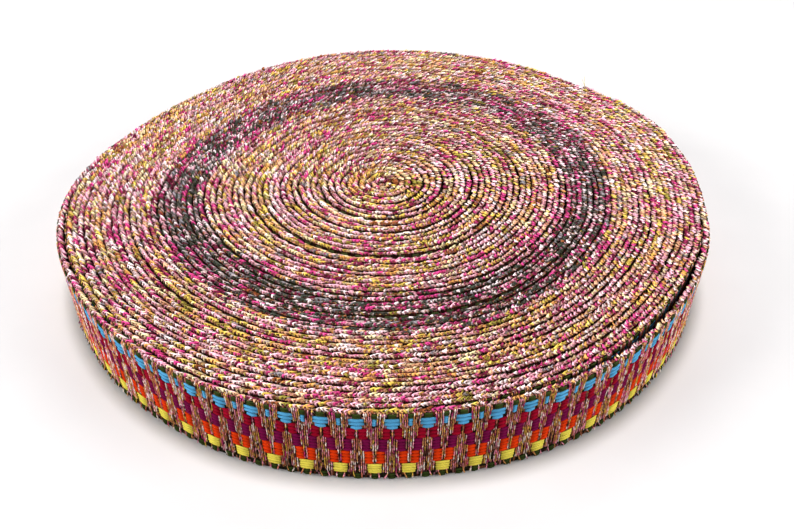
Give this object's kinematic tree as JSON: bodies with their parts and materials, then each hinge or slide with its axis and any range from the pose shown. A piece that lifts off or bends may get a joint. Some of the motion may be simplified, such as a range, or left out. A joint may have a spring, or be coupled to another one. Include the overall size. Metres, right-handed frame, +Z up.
{
  "type": "roll of woven ribbon",
  "caption": "Flat roll of patterned woven ribbon lying on its side, wound to a closed eye, with a loose outer turn and a free tail end.",
  "frame": {"origin": "eye of the roll, on the surface that the roll rests on", "axes": "+Z up through the eye, along the ribbon's width; +X to the right and -Y towards the viewer of the picture; the tail end is 42 degrees from +X towards +Y"},
  "size_m": [0.183, 0.1796, 0.022],
  "materials": {
    "ribbon_edges": "space-dyed weft loops, matt",
    "ribbon_face": "woven jacquard face, matt with a soft sheen"
  },
  "bodies": {
    "root": {"wound_roll": "ribbon_edges", "loose_end": "ribbon_face"}
  },
  "joints": []
}
